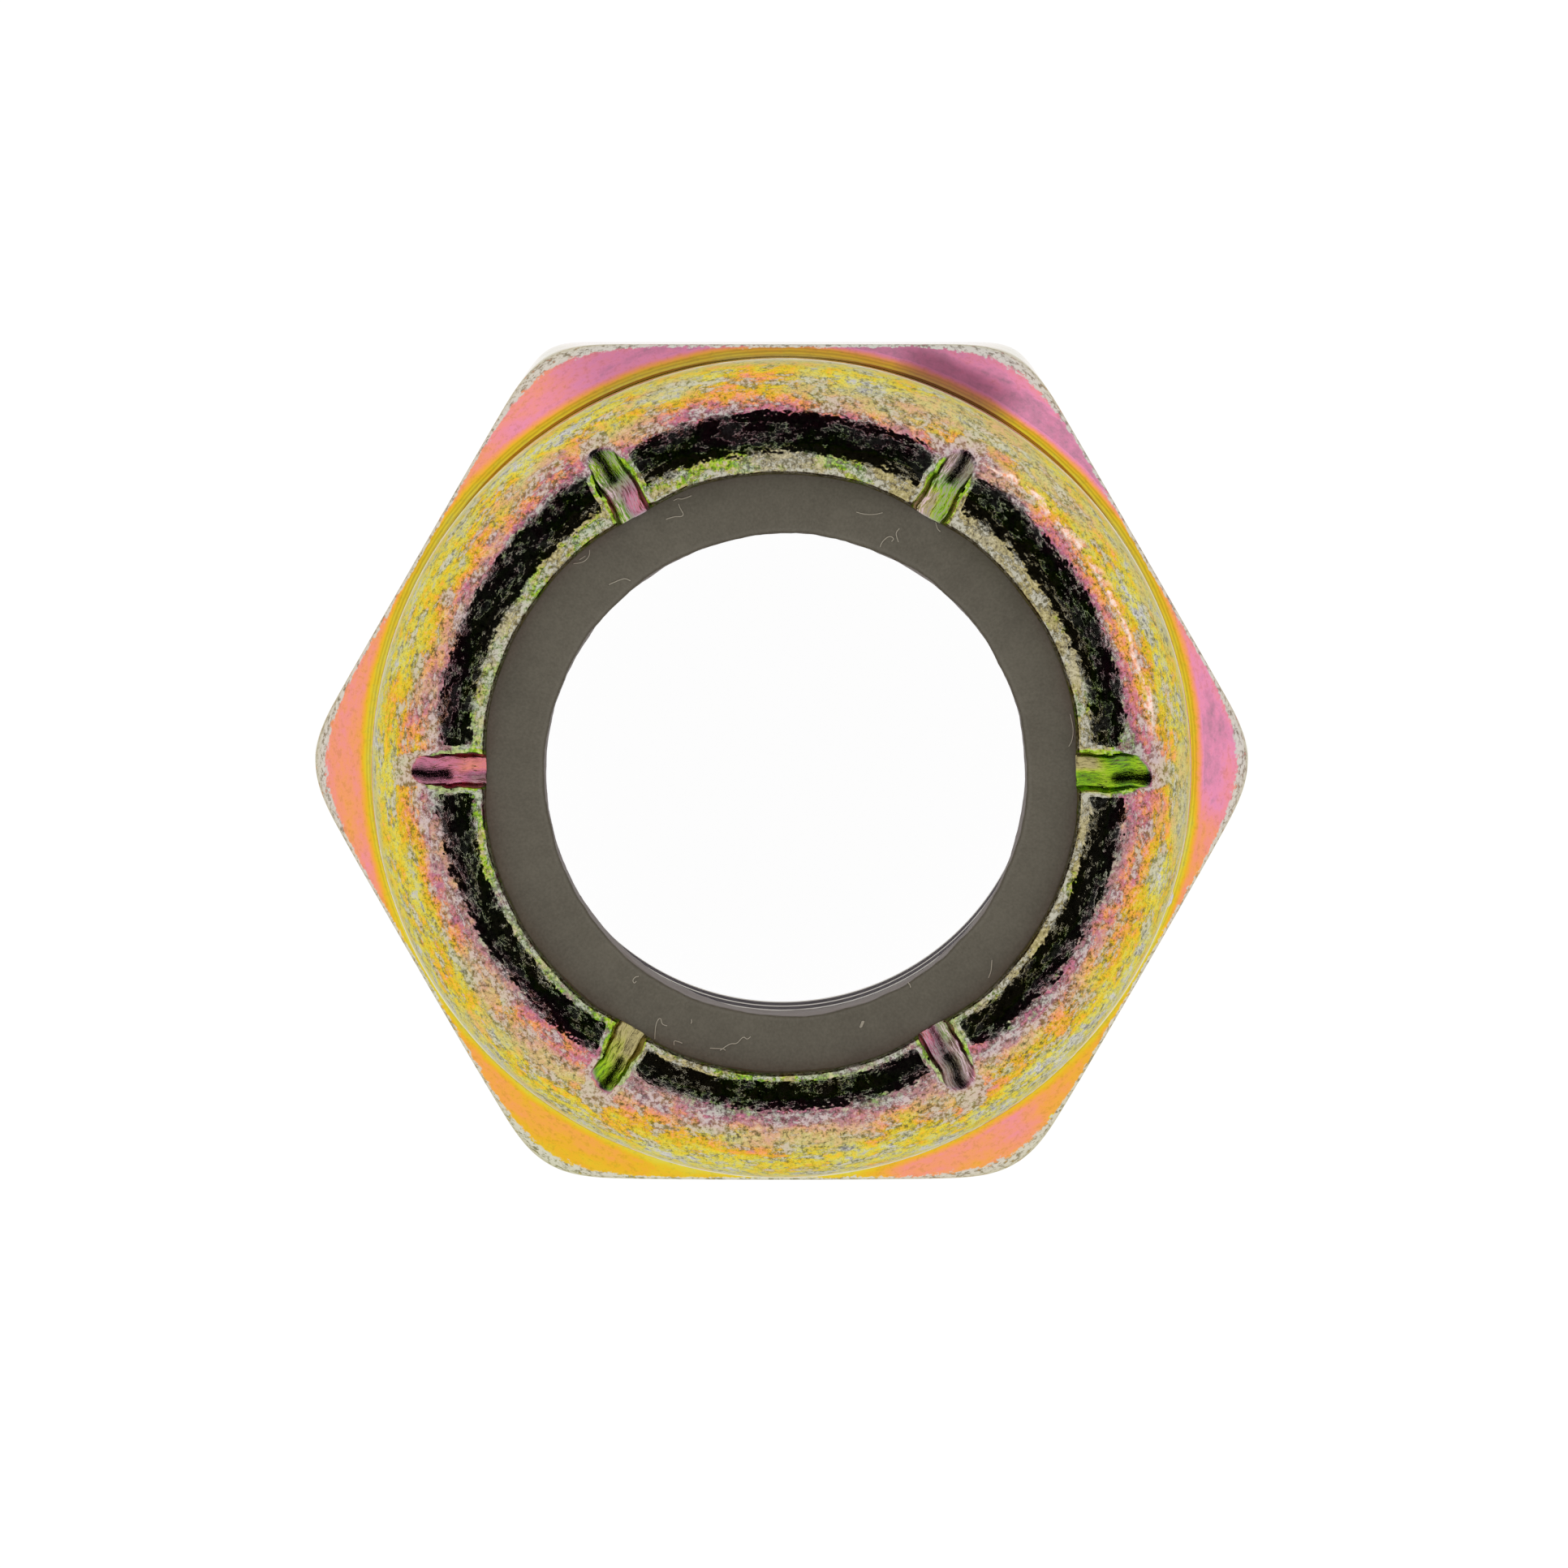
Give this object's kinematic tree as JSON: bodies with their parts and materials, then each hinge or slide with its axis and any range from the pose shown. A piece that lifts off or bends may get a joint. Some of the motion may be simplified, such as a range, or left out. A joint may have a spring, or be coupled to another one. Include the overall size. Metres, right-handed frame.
{
  "type": "nylon insert lock nut",
  "caption": "Hexagon lock nut with a nylon ring held under the rolled lip of its collar, notched round the crown, for a coarse right-hand thread.",
  "frame": {"origin": "centre of the bearing face, on the thread axis", "axes": "+Z along the thread axis from the bearing face to the crown, +X towards a corner of the hexagon, +Y square to two flats"},
  "size_m": [0.0306, 0.027, 0.0222],
  "materials": {
    "plated_steel": "yellow iridescent passivated zinc plate, worn to pale silver at the edges",
    "nylon": "matt warm grey nylon with a fine grain"
  },
  "bodies": {
    "root": {"nut_body": "plated_steel", "nylon_insert": "nylon"}
  },
  "joints": []
}
